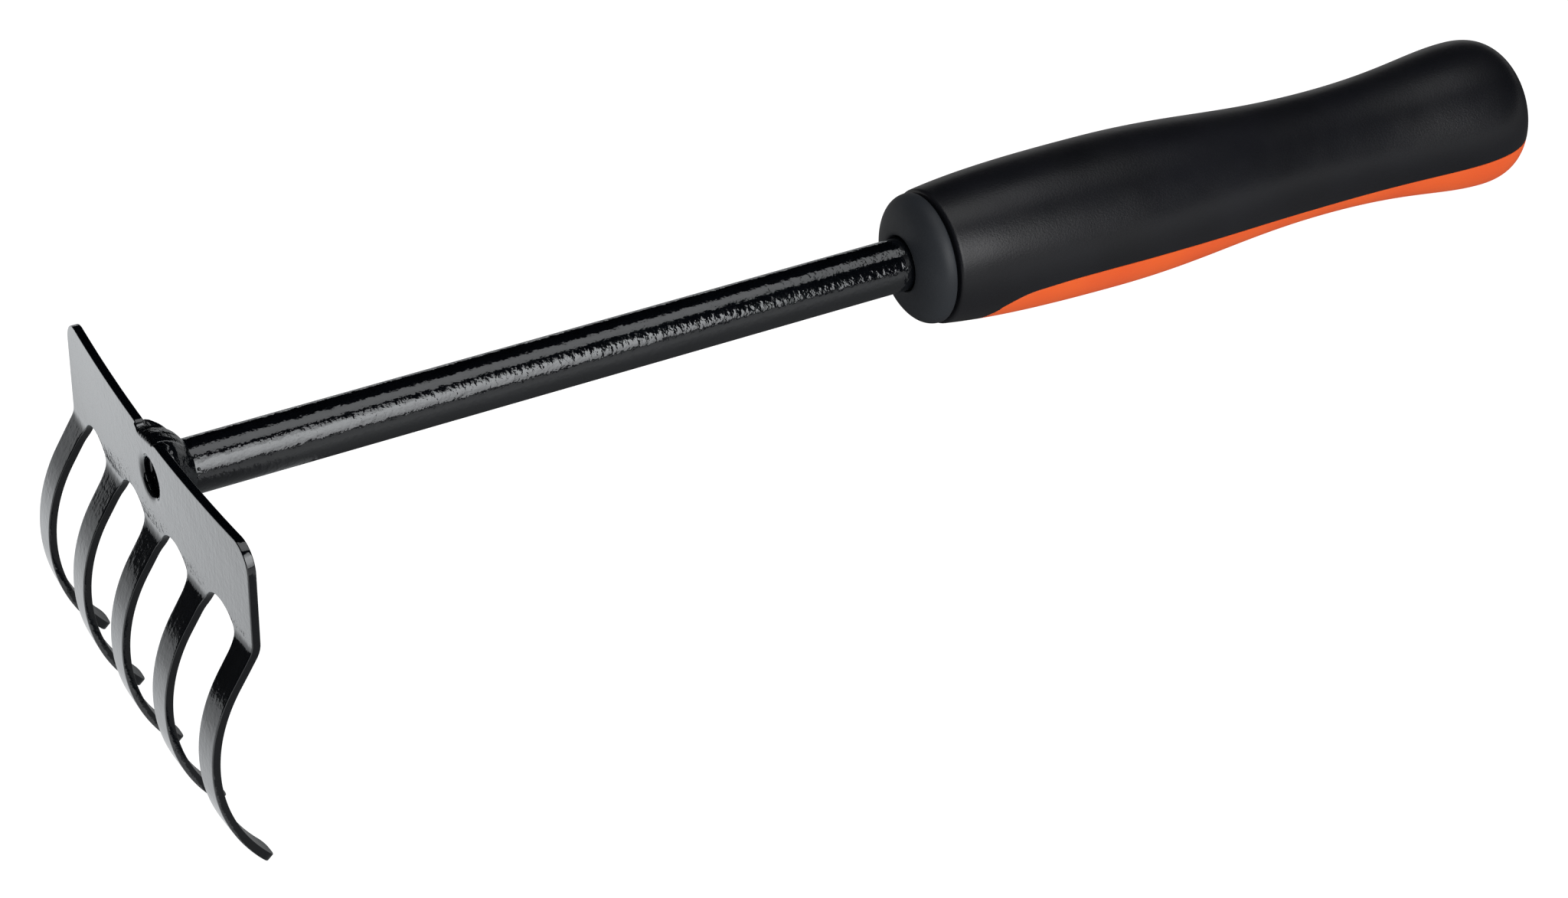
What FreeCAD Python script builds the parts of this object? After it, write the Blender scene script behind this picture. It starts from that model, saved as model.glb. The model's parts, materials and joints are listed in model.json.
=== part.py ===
import FreeCAD, Part
import math
import os

# Five-tine hand rake, millimetres.
# Every piece is drawn in the shaft's frame: the origin is the middle of the head's front face,
# +X runs along the shaft to the handle, +Y to the left of someone holding it, +Z away from the
# tine tips. At the end the whole rake is laid down as it rests on a bench, on its five tips and
# on the underside of the butt, with the origin on the bench below the middle of its box.

# Head: one blank of sheet steel, pierced and pressed.
head_width = 101.0          # over the outer edges of the plate
sheet = 2.0
corner_rise = 12.0          # shaft axis to the plate's top edge, near its corners
top_hollow = 1.2            # how far the top edge dips in the middle
corner_radius = 6.0
bow_radius = 860.0          # the plate is bowed in plan, with its wings set back

# Tines: the blank is bent forward below the slots, then rolled back towards the handle.
tine_count = 5
tine_width = 7.3            # at the root
tip_width = 6.0
slot_crown = 9.4            # shaft axis down to the top of each slot
bend_drop = 12.0            # shaft axis down to the line where the bend starts
bend_radius = 5.0           # inside radius of the bend
tine_lean = 30.5            # degrees forward after the bend
tine_straight = 8.0
roll_radius = 42.0          # outside radius of the roll
tine_curl = 45.0            # degrees past upright at the tip
tip_radius = 2.2

# Shaft: drawn steel tube, welded to the back of the plate.
tube_diameter = 12.7
tube_wall = 2.0
shaft_length = 285.0        # back of the plate to the end buried in the handle
weld_leg_plate = 6.0
weld_leg_tube = 6.3
weld_crown = 0.9            # how far the bead bulges past a straight chamfer
hole_clearance = 0.25       # the plate's hole is this much wider than the tube's bore, all round

# Handle: a hard core moulded round the shaft's end, a soft grip over it and a nose collar.
handle_start = 194.7        # front of the head to the groove behind the nose
handle_droop = 1.0          # degrees that the handle's axis dips below the shaft's
grip_length = 169.3         # groove to the end of the butt
front_radius = 16.1         # at the groove
belly_radius = 18.55
belly_at = 48.0
waist_radius = 15.2
waist_at = 111.0
knob_radius = 18.4
knob_back = 13.0            # end of the butt back to the knob's widest ring
grip_wall = 2.5             # thickness of the soft grip
groove_width = 0.9
nose_depth = 7.1            # groove to the nose's front edge
nose_step = 0.4             # the nose is this much smaller than the grip's front, all round
nose_bulge = 1.25           # how far the dome stands out from a straight cone
nose_gap = 0.7              # clear ring between the shaft and the nose's mouth
nose_gap_depth = 3.0
spigot_length = 6.0         # of the nose, inside the grip
key_radius = 2.5            # cross hole in the buried tube, filled by the core
key_back = 20.0             # end of the tube back to the cross hole
plug_length = 12.0          # how far the core reaches into the tube's end

# Parting line between the core's bare underside and the grip, seen from the side:
# distance behind the groove, and height above the handle's axis.
tongue_front = 8.5
parting_line = [
    (tongue_front + 1.5, -12.4),
    (tongue_front + 8.5, -6.6),
    (tongue_front + 17.5, -5.0),
    (belly_at + 8.0, -4.6),
    (waist_at - 3.0, -6.5),
    (grip_length - 19.3, -4.2),
    (grip_length - 7.3, -2.2),
]
parting_end_rise = 1.5
margin = 5.0                # how far every cutting solid reaches past what it cuts

tube_radius = tube_diameter / 2
bore_radius = tube_radius - tube_wall
hole_radius = bore_radius + hole_clearance
nose_radius = front_radius - nose_step
half_width = head_width / 2
tine_pitch = (head_width - tine_width) / (tine_count - 1)
slot_width = tine_pitch - tine_width
tine_taper = (tine_width - tip_width) / 2
slot_spring = -slot_crown - slot_width / 2
lean = math.radians(tine_lean)
curl = math.radians(tine_curl)


def vec(x, y, z):
    return FreeCAD.Vector(x, y, z)


def side(x, z):
    return FreeCAD.Vector(x, 0, z)


def line(a, b):
    return Part.makeLine(a, b)


def arc(a, b, c):
    return Part.Arc(a, b, c).toShape()


def bezier(*poles):
    curve = Part.BezierCurve()
    curve.setPoles(list(poles))
    return curve.toShape()


def face(edges):
    return Part.Face(Part.Wire(edges))


def around_shaft(profile):
    return profile.revolve(vec(0, 0, 0), vec(1, 0, 0), 360)


def rod(start, length, radius):
    return Part.makeCylinder(radius, length, side(start, 0), vec(1, 0, 0))


# ---- head ----------------------------------------------------------------------------------

bend_centre = side(-bend_radius, -bend_drop)
bend_end = bend_centre + side(math.cos(lean), -math.sin(lean)) * bend_radius
straight_end = bend_end + side(-math.sin(lean), -math.cos(lean)) * tine_straight
roll_centre = straight_end + side(math.cos(lean), -math.sin(lean)) * roll_radius


def on_bend(angle, depth):
    return bend_centre + side(math.cos(angle), -math.sin(angle)) * (bend_radius + depth)


def on_roll(angle, depth):
    return roll_centre - side(math.cos(angle), -math.sin(angle)) * (roll_radius - depth)


def head_section():
    # The blank seen from the side: plate, bend, straight and roll, one sheet thick.
    top = corner_rise + margin
    half_bend = lean / 2
    half_roll = (lean - curl) / 2
    front = [
        line(side(0, top), on_bend(0, 0)),
        arc(on_bend(0, 0), on_bend(half_bend, 0), on_bend(lean, 0)),
        line(on_bend(lean, 0), on_roll(lean, 0)),
        arc(on_roll(lean, 0), on_roll(half_roll, 0), on_roll(-curl, 0)),
    ]
    back = [
        arc(on_roll(-curl, sheet), on_roll(half_roll, sheet), on_roll(lean, sheet)),
        line(on_roll(lean, sheet), on_bend(lean, sheet)),
        arc(on_bend(lean, sheet), on_bend(half_bend, sheet), on_bend(0, sheet)),
        line(on_bend(0, sheet), side(sheet, top)),
    ]
    tip = line(on_roll(-curl, 0), on_roll(-curl, sheet))
    return face(front + [tip] + back + [line(side(sheet, top), side(0, top))])


def bowed_sheet():
    half_angle = math.degrees(math.asin((half_width + margin) / bow_radius))
    pivot = side(bow_radius, 0)
    section = head_section()
    section.rotate(pivot, vec(0, 0, 1), -half_angle)
    return section.revolve(pivot, vec(0, 0, 1), 2 * half_angle)


def blank_prism():
    # The blank's outline from the front, without its slots.
    foot = roll_centre.z - roll_radius - margin
    inset = half_width - corner_radius
    shoulder = corner_rise - corner_radius
    bevel = corner_radius * (1 - math.sqrt(0.5))
    start = -roll_radius
    depth = 2 * roll_radius + margin

    def at(y, z):
        return vec(start, y, z)

    outline = [
        arc(at(-inset, corner_rise), at(0, corner_rise - top_hollow), at(inset, corner_rise)),
        arc(at(inset, corner_rise), at(half_width - bevel, corner_rise - bevel), at(half_width, shoulder)),
        line(at(half_width, shoulder), at(half_width, slot_spring)),
        line(at(half_width, slot_spring), at(half_width - tine_taper, foot)),
        line(at(half_width - tine_taper, foot), at(tine_taper - half_width, foot)),
        line(at(tine_taper - half_width, foot), at(-half_width, slot_spring)),
        line(at(-half_width, slot_spring), at(-half_width, shoulder)),
        arc(at(-half_width, shoulder), at(bevel - half_width, corner_rise - bevel), at(-inset, corner_rise)),
    ]
    return face(outline).extrude(vec(depth, 0, 0))


def slot_prism(centre):
    # One slot: a round crown, with sides that open a little towards the tips.
    foot = roll_centre.z - roll_radius - 2 * margin
    top = slot_width / 2
    bottom = top + tine_taper
    start = -2 * roll_radius
    outline = [
        arc(
            vec(start, centre - top, slot_spring),
            vec(start, centre, -slot_crown),
            vec(start, centre + top, slot_spring),
        ),
        line(vec(start, centre + top, slot_spring), vec(start, centre + bottom, foot)),
        line(vec(start, centre + bottom, foot), vec(start, centre - bottom, foot)),
        line(vec(start, centre - bottom, foot), vec(start, centre - top, slot_spring)),
    ]
    return face(outline).extrude(vec(4 * roll_radius, 0, 0))


def make_head():
    head = bowed_sheet().common(blank_prism())
    for gap in range(tine_count - 1):
        centre = (gap - (tine_count - 2) / 2) * tine_pitch
        head = head.cut(slot_prism(centre))
    head = head.cut(rod(-margin, 2 * margin, hole_radius))
    tip_level = on_roll(-curl, sheet).z + sheet
    corners = []
    for edge in head.Edges:
        low = max(vertex.Z for vertex in edge.Vertexes) < tip_level
        if low and edge.Length < 1.5 * sheet:
            corners.append(edge)
    return head.makeFillet(tip_radius, corners)


# ---- shaft and weld ------------------------------------------------------------------------

tube_end = sheet + shaft_length
key_at = tube_end - key_back


def key_rod():
    return Part.makeCylinder(key_radius, tube_diameter, vec(key_at, -tube_radius, 0), vec(0, 1, 0))


def make_tube(head):
    tube = rod(0, tube_end, tube_radius).cut(rod(-margin, tube_end + 2 * margin, bore_radius))
    return tube.cut(head.fuse(rod(-margin, margin + sheet, tube_diameter))).cut(key_rod())


def make_weld(head):
    foot = side(sheet, tube_radius + weld_leg_plate)
    toe = side(sheet + weld_leg_tube, tube_radius)
    slant = math.hypot(weld_leg_plate, weld_leg_tube)
    outward = side(weld_leg_plate / slant, weld_leg_tube / slant)
    crown = (foot + toe) * 0.5 + outward * weld_crown
    root = side(0, tube_radius)
    heel = side(0, tube_radius + weld_leg_plate)
    bead = around_shaft(face([line(root, heel), line(heel, foot), arc(foot, crown, toe), line(toe, root)]))
    return bead.cut(head.fuse(rod(-margin, margin + sheet, 2 * tube_diameter)))


# ---- handle, drawn round its own axis with its groove at the origin -------------------------

handle_place = FreeCAD.Placement(side(handle_start, 0), FreeCAD.Rotation(vec(0, 1, 0), handle_droop))


def grip_body(start, inset):
    # The handle's outer shape from start to the butt, set in by a wall thickness.
    front = side(0, front_radius - inset)
    belly = side(belly_at, belly_radius - inset)
    waist = side(waist_at, waist_radius - inset)
    knob = side(grip_length - knob_back, knob_radius - inset)
    butt = side(grip_length - inset, 0)
    rise = belly - front
    fall = waist_at - belly_at
    swell = knob.x - waist_at
    round_off = 0.75
    nape = side(0.25 * rise.x, front.z + 0.72 * rise.z)
    curves = [
        bezier(front, nape, side(0.52 * rise.x, belly.z), belly),
        bezier(belly, belly + side(0.4 * fall, 0), waist - side(0.4 * fall, 0), waist),
        bezier(waist, waist + side(0.55 * swell, 0), knob - side(0.25 * swell, 0), knob),
        bezier(knob, knob + side(round_off * (butt.x - knob.x), 0), side(butt.x, round_off * knob.z), butt),
    ]
    body = around_shaft(face(curves + [line(butt, side(0, 0)), line(side(0, 0), front)]))
    return body.cut(rod(-margin, margin + start, 2 * belly_radius))


def under_parting():
    # Everything below the parting line, wider than the handle.
    low = -2 * belly_radius
    points = [side(tongue_front, low / 2)]
    points += [side(along, height) for along, height in parting_line]
    points.append(side(grip_length + margin, parting_end_rise))
    curve = Part.BSplineCurve()
    curve.interpolate(points)
    first = points[0]
    last = points[-1]
    below = face([
        curve.toShape(),
        line(last, side(last.x, low)),
        line(side(last.x, low), side(first.x, low)),
        line(side(first.x, low), first),
    ])
    below.translate(vec(0, low, 0))
    return below.extrude(vec(0, -2 * low, 0))


def in_handle_axes(shape):
    # A shape drawn on the shaft's axis, as the handle's own axes see it.
    shape.Placement = handle_place.inverse().multiply(shape.Placement)
    return shape


def make_nose():
    lip = groove_width / 2
    edge = side(-lip, nose_radius)
    mouth = side(-nose_depth, tube_radius + nose_gap)
    half = (edge + mouth) * 0.5
    run = edge - mouth
    dome = half + side(-run.z, run.x) * (nose_bulge / run.Length)
    back = side(-lip, 0)
    cap = around_shaft(face([arc(mouth, dome, edge), line(edge, back), line(back, side(-nose_depth, 0)),
                             line(side(-nose_depth, 0), mouth)]))
    spigot = grip_body(0, grip_wall).common(rod(0, spigot_length, belly_radius))
    neck = rod(-lip, lip, front_radius - grip_wall)
    shaft = in_handle_axes(rod(handle_start - 2 * belly_radius, 4 * belly_radius, tube_radius))
    mouth_hole = in_handle_axes(rod(handle_start - 2 * nose_depth,
                                    nose_depth + nose_gap_depth, tube_radius + nose_gap))
    return cap.fuse(neck).fuse(spigot).removeSplitter().cut(shaft).cut(mouth_hole)


def make_core():
    inner = grip_body(spigot_length, grip_wall)
    bare = grip_body(spigot_length, 0).common(under_parting())
    pocket = in_handle_axes(rod(0, tube_end, tube_radius))
    plug = in_handle_axes(rod(tube_end - plug_length, plug_length, bore_radius))
    key = in_handle_axes(key_rod().cut(rod(0, tube_end, bore_radius)))
    core = inner.fuse(bare).removeSplitter().cut(pocket)
    return core.fuse(plug).fuse(key)


def make_grip():
    outer = grip_body(groove_width / 2, 0)
    return outer.cut(under_parting()).cut(grip_body(0, grip_wall))


# ---- laying the rake down -------------------------------------------------------------------


def surface_points(shape):
    return shape.tessellate(0.05)[0]


def lowest(points, angle):
    return min(p.z * math.cos(angle) - p.x * math.sin(angle) for p in points)


def resting_angle(head_points, handle_points):
    # The tilt at which the tine tips and the handle touch the same bench.
    low = 0.0
    high = math.radians(45)
    for _ in range(50):
        angle = (low + high) / 2
        if lowest(head_points, angle) < lowest(handle_points, angle):
            low = angle
        else:
            high = angle
    return low


head = make_head()
nodes = {
    "rake_head": head,
    "weld_bead": make_weld(head),
    "shaft_tube": make_tube(head),
    "nose_collar": make_nose(),
    "handle_core": make_core(),
    "grip_shell": make_grip(),
}
for name in ("nose_collar", "handle_core", "grip_shell"):
    nodes[name].Placement = handle_place.multiply(nodes[name].Placement)

points = {name: surface_points(shape) for name, shape in nodes.items()}
handle_points = points["handle_core"] + points["grip_shell"]
tilt = resting_angle(points["rake_head"], handle_points)
turn = FreeCAD.Rotation(vec(0, 1, 0), math.degrees(tilt))
laid = [turn.multVec(p) for shape_points in points.values() for p in shape_points]
low_x = min(p.x for p in laid)
high_x = max(p.x for p in laid)
low_z = min(p.z for p in laid)
rest = FreeCAD.Placement(side(-(low_x + high_x) / 2, -low_z), turn)

os.makedirs("parts", exist_ok=True)
for name, shape in nodes.items():
    shape.Placement = rest.multiply(shape.Placement)
    shape.exportStep("parts/" + name + ".step")
    box = shape.BoundBox
    print(name, "solids", len(shape.Solids), "valid", shape.isValid(), "volume", round(shape.Volume, 1),
          "size", round(box.XLength, 1), round(box.YLength, 1), round(box.ZLength, 1))
print("tilt", round(math.degrees(tilt), 4), "origin of the shaft's frame", rest.Base)
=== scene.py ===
import json
import math
import random

import bmesh
import bpy
import numpy as np
from mathutils import Matrix, Vector, geometry, noise


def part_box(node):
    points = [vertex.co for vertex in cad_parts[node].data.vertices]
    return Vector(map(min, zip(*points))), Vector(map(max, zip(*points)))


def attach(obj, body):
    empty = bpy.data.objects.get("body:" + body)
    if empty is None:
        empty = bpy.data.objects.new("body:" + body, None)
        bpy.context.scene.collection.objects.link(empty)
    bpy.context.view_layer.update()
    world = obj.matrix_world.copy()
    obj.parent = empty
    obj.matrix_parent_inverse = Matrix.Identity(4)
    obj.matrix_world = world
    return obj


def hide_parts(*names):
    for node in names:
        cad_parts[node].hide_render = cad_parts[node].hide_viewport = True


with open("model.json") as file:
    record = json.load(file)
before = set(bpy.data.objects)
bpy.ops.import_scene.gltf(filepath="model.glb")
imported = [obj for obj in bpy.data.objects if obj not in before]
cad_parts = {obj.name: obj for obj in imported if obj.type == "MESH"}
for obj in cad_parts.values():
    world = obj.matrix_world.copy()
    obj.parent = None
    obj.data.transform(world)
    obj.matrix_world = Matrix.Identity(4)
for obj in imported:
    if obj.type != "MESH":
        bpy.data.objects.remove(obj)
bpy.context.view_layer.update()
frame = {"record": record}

# Hand rake with five tines. Every piece is drawn in millimetres on the shaft's or the handle's own
# axes, and laid in place by the hole in the plate, which the record gives.
mm = 0.001
mergeWithin = 0.002      # points closer than this are one point
hole = next(mount for mount in frame["record"]["mounts"] if mount["name"] == "head_hole")
sheet = hole["dims"]["length_mm"]


def nodeWidth(node):
    low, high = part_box(node)
    return (high.y - low.y) / mm


tubeRadius = nodeWidth("shaft_tube") / 2
headWidth = nodeWidth("rake_head")


def axesAlong(direction, origin):
    # X along the direction, Y level, Z up, in millimetres
    x = direction.normalized()
    y = Vector((0, 1, 0))
    turn = Matrix((x, y, x.cross(y))).transposed().to_4x4()
    return Matrix.Translation(origin) @ turn @ Matrix.Scale(mm, 4)


holeAxis = Vector(hole["axis"])
onShaft = axesAlong(-holeAxis, Vector(hole["pos_m"]) + holeAxis * (sheet * mm / 2))


def hexColour(code):
    # sRGB hex to the linear colour that a shader takes
    channels = [int(code[i:i + 2], 16) / 255 for i in (1, 3, 5)]
    linear = [c / 12.92 if c <= 0.04045 else ((c + 0.055) / 1.055) ** 2.4 for c in channels]
    return (*linear, 1.0)


def addNode(tree, kind, inputs=None, **settings):
    node = tree.nodes.new(kind)
    for name, value in settings.items():
        setattr(node, name, value)
    for name, value in (inputs or {}).items():
        if isinstance(value, bpy.types.NodeSocket):
            tree.links.new(value, node.inputs[name])
        else:
            node.inputs[name].default_value = value
    return node


def newMaterial(name):
    material = bpy.data.materials.new(name)
    material.use_nodes = True
    tree = material.node_tree
    tree.nodes.clear()
    where = addNode(tree, "ShaderNodeTexCoord")
    return material, tree, where.outputs["Object"]


def finishMaterial(tree, inputs):
    shader = addNode(tree, "ShaderNodeBsdfPrincipled", inputs)
    addNode(tree, "ShaderNodeOutputMaterial", {"Surface": shader.outputs["BSDF"]})


def blotches(tree, where, size, low=0.0, high=1.0, detail=2.0, seed=0.0):
    # a value that wanders between low and high over patches of the given size in millimetres
    pattern = addNode(tree, "ShaderNodeTexNoise",
                      {"Vector": where, "Scale": 1 / (size * mm), "Detail": detail, "W": seed},
                      noise_dimensions="4D")
    spread = addNode(tree, "ShaderNodeMapRange",
                     {"Value": pattern.outputs["Fac"], "From Min": 0.3, "From Max": 0.7,
                      "To Min": low, "To Max": high})
    return spread.outputs["Result"]


def makePiece(name, points, faces, place, node, material):
    # one closed mesh, merged where its parts meet, that stands in for a node of the frame
    mesh = bpy.data.meshes.new(name)
    mesh.from_pydata([place @ Vector(point) for point in points], [], faces)
    form = bmesh.new()
    form.from_mesh(mesh)
    bmesh.ops.remove_doubles(form, verts=form.verts, dist=mergeWithin * mm)
    bmesh.ops.dissolve_degenerate(form, edges=form.edges, dist=mergeWithin * mm)
    bmesh.ops.holes_fill(form, edges=[edge for edge in form.edges if edge.is_boundary], sides=0)
    bmesh.ops.recalc_face_normals(form, faces=form.faces)
    for face in form.faces:
        face.smooth = True
    form.to_mesh(mesh)
    openEdges = sum(1 for edge in form.edges if not edge.is_manifold)
    form.free()
    piece = bpy.data.objects.new(name, mesh)
    bpy.context.scene.collection.objects.link(piece)
    mesh.materials.append(material)
    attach(piece, "root")
    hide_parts(node)
    print("piece", name, len(mesh.polygons), "faces,", openEdges, "open edges")


def stitch(faces, first, second):
    # quads between two rows of point numbers
    for k in range(len(first) - 1):
        faces.append((first[k], first[k + 1], second[k + 1], second[k]))


def spin(profile, around):
    # points and faces of a closed profile of (along, radius) turned about the X axis
    points = []
    faces = []
    for k in range(around):
        angle = 2 * math.pi * k / around
        points += [(x, r * math.cos(angle), r * math.sin(angle)) for x, r in profile]
    count = len(profile)
    for k in range(around):
        first = [k * count + i for i in range(count)]
        second = [(k + 1) % around * count + i for i in range(count)]
        stitch(faces, first + first[:1], second + second[:1])
    return points, faces


def arcPoints(centre, radius, start, end, steps):
    angles = [math.radians(start + (end - start) * k / steps) for k in range(steps + 1)]
    return [(centre[0] + radius * math.cos(a), centre[1] + radius * math.sin(a)) for a in angles]


def smoothThrough(points, steps):
    # a smooth curve through every point, with even speed
    ends = [tuple(2 * a - b for a, b in zip(points[0], points[1])),
            tuple(2 * a - b for a, b in zip(points[-1], points[-2]))]
    line = [np.array(p, float) for p in [ends[0]] + list(points) + [ends[1]]]
    path = []
    for a, b, c, d in zip(line, line[1:], line[2:], line[3:]):
        t1 = np.linalg.norm(b - a) ** 0.5
        t2 = t1 + np.linalg.norm(c - b) ** 0.5
        t3 = t2 + np.linalg.norm(d - c) ** 0.5
        for k in range(steps):
            t = t1 + (t2 - t1) * k / steps
            ab = a * (t1 - t) / t1 + b * t / t1
            bc = b * (t2 - t) / (t2 - t1) + c * (t - t1) / (t2 - t1)
            cd = c * (t3 - t) / (t3 - t2) + d * (t - t2) / (t3 - t2)
            abc = ab * (t2 - t) / t2 + bc * t / t2
            bcd = bc * (t3 - t) / (t3 - t1) + cd * (t - t1) / (t3 - t1)
            path.append(abc * (t2 - t) / (t2 - t1) + bcd * (t - t1) / (t2 - t1))
    path.append(line[-2])
    return path


head = {
    "topRise": 12.0, "topHollow": 1.2, "cornerRadius": 6.0, "bowRadius": 860.0,
    "tines": 5, "tineWidth": 7.3, "tipWidth": 6.0, "tipRadius": 2.2, "slotCrown": 9.4,
    "bendDrop": 12.0, "bendRadius": 5.0, "lean": 30.5, "straight": 8.0,
    "rollRadius": 42.0, "curl": 44.5,
    "arris": 0.24, "holeLip": 1.7, "holeDish": 0.75, "holeSteps": 72,
    "burr": 0.09, "burrPitch": (1.6, 1.6, 2.0), "burrMargin": 0.35,
    "edgeStep": 0.7, "fillStep": 1.5, "cornerSteps": 12, "tipSteps": 7, "crownSteps": 36,
    "notchDepth": 2.07, "notchStart": 6.9, "notchEnd": -4.3, "notchCorner": 0.17,
    "searchEnd": 90.0, "fillEnd": 80.0,
}


def sectionAt(run):
    # the front face seen from the side, at a distance below the shaft's axis: x, z and its lean
    lean = math.radians(head["lean"])
    bend = run - head["bendDrop"]
    bendRun = head["bendRadius"] * lean
    if bend <= 0:
        return 0.0, -run, 0.0
    angle = min(bend, bendRun) / head["bendRadius"]
    x = head["bendRadius"] * (math.cos(angle) - 1)
    z = -head["bendDrop"] - head["bendRadius"] * math.sin(angle)
    if bend <= bendRun:
        return x, z, angle
    down = min(bend - bendRun, head["straight"])
    x -= down * math.sin(lean)
    z -= down * math.cos(lean)
    if bend <= bendRun + head["straight"]:
        return x, z, lean
    angle = lean - (bend - bendRun - head["straight"]) / head["rollRadius"]
    x += head["rollRadius"] * (math.cos(lean) - math.cos(angle))
    z += head["rollRadius"] * (math.sin(angle) - math.sin(lean))
    return x, z, angle


def runAtHeight(height):
    # how far along the blank its front face comes down to a height
    low, high = -head["topRise"] - 1, head["searchEnd"]
    for _ in range(40):
        middle = (low + high) / 2
        if sectionAt(middle)[1] > height:
            low = middle
        else:
            high = middle
    return low


def onHead(across, run, depth):
    # a point of the blank: across it, along it, and how deep below its front face
    x, z, angle = sectionAt(run)
    x += depth * math.cos(angle)
    z -= depth * math.sin(angle)
    reach = head["bowRadius"] - x
    return head["bowRadius"] - math.sqrt(reach * reach - across * across), across, z


def easeIn(t):
    # 0 to 1 with a soft start and a soft end
    t = max(0.0, min(1.0, t))
    return t * t * (3 - 2 * t)


def waver(height, pitch, along, seed):
    return height * noise.noise(Vector((along * pitch, seed, 0)))


def weldNotch(across):
    # the plate's top edge melted away where the bead runs over it: a sharp corner, then a slow rise
    t = (head["notchStart"] - across) / (head["notchStart"] - head["notchEnd"])
    if t <= 0 or t >= 1:
        return 0.0
    ragged = waver(0.20, 1.3, across, 7.0) + waver(0.14, 3.1, across, 2.0)
    depth = head["notchDepth"] * (1 - t) ** 0.7 + ragged * (1 - t)
    return depth * easeIn(t / head["notchCorner"])


def topEdge(across):
    # height of the plate's hollowed and notched top edge above the shaft's axis
    inset = headWidth / 2 - head["cornerRadius"]
    hollow = head["topHollow"] * (1 - min(1.0, abs(across) / inset) ** 2)
    return head["topRise"] - hollow - weldNotch(across)


def headOutline():
    # the blank's outline as (across, along), from the top edge round the tines and back
    half = headWidth / 2
    step = head["edgeStep"]
    tipRun = head["bendDrop"] + head["bendRadius"] * math.radians(head["lean"]) + head["straight"]
    tipRun += head["rollRadius"] * math.radians(head["lean"] + head["curl"])
    pitch = (headWidth - head["tineWidth"]) / (head["tines"] - 1)
    slotRadius = (pitch - head["tineWidth"]) / 2
    spring = -head["slotCrown"] - slotRadius
    foot = sectionAt(tipRun)[1]
    taper = (head["tineWidth"] - head["tipWidth"]) / 2
    springRun = runAtHeight(spring)
    corner = head["cornerRadius"]
    inset = half - corner
    outline = []
    count = round(2 * inset / step)
    for k in range(count):
        y = -inset + 2 * inset * k / count
        outline.append((y, -topEdge(y)))
    bend = arcPoints((inset, head["topRise"] - corner), corner, 90, 0, head["cornerSteps"])
    outline += [(y, -z) for y, z in bend]
    runs = round((springRun + head["topRise"] - corner) / step)
    start = corner - head["topRise"]
    outline += [(half, start + (springRun - start) * k / runs) for k in range(1, runs)]

    def edgeAt(centre, side, run):
        t = (spring - sectionAt(run)[1]) / (spring - foot)
        return centre + side * (head["tineWidth"] / 2 - taper * max(0.0, t))

    length = tipRun - springRun - head["tipRadius"]
    rows = round(length / step)
    for tine in range(head["tines"]):
        centre = half - head["tineWidth"] / 2 - tine * pitch
        down = [springRun + length * k / rows for k in range(rows + 1)]
        outline += [(edgeAt(centre, 1, run), run) for run in down]
        tip = head["tipRadius"]
        edge = edgeAt(centre, 1, tipRun)
        outline += arcPoints((edge - tip, tipRun - tip), tip, 0, 90, head["tipSteps"])[1:]
        edge = edgeAt(centre, -1, tipRun)
        outline += arcPoints((edge + tip, tipRun - tip), tip, 90, 180, head["tipSteps"])[:-1]
        outline += [(edgeAt(centre, -1, run), run) for run in reversed(down)]
        if tine < head["tines"] - 1:
            crown = arcPoints((centre - pitch / 2, spring), slotRadius, 0, 180, head["crownSteps"])
            outline += [(y, runAtHeight(z)) for y, z in crown[1:-1]]
    outline += [(-half, springRun + (start - springRun) * k / runs) for k in range(1, runs)]
    bend = arcPoints((-inset, head["topRise"] - corner), corner, 180, 90, head["cornerSteps"])
    outline += [(y, -z) for y, z in bend[:-1]]
    return outline


def inwardNormals(loop, towardsInside):
    # unit normals in the blank's plane that point from a loop into the metal
    loop = np.array(loop)
    along = np.roll(loop, -1, axis=0) - np.roll(loop, 1, axis=0)
    along /= np.linalg.norm(along, axis=1)[:, None]
    area = np.sum(loop[:, 0] * np.roll(loop[:, 1], -1) - np.roll(loop[:, 0], -1) * loop[:, 1])
    side = 1 if (area > 0) == towardsInside else -1
    return np.stack([-along[:, 1], along[:, 0]], axis=1) * side


def edgeProfile(front, dish, back):
    # (inset, depth) from the front face over the rounded edge to the back face
    support = 0.4
    steps = 6
    profile = [(front + support, 0.0)]
    for k in range(steps + 1):
        turn = math.pi / 2 * k / steps
        profile.append((front * (1 - math.sin(turn)), dish * (1 - math.cos(turn))))
    profile.append((0.0, (dish + sheet - back) / 2))
    for k in range(steps, -1, -1):
        turn = math.pi / 2 * k / steps
        profile.append((back * (1 - math.sin(turn)), sheet - back * (1 - math.cos(turn))))
    profile.append((back + support, sheet))
    return profile


def insideLoop(points, loop):
    # which points lie inside a loop, by how often a level ray crosses it
    loop = np.array(loop)
    inside = np.zeros(len(points), bool)
    for (ax, ay), (bx, by) in zip(loop, np.roll(loop, -1, axis=0)):
        crosses = (ay > points[:, 1]) != (by > points[:, 1])
        if ay != by:
            at = (bx - ax) * (points[:, 1] - ay) / (by - ay) + ax
            inside ^= crosses & (points[:, 0] < at)
    return inside


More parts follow.
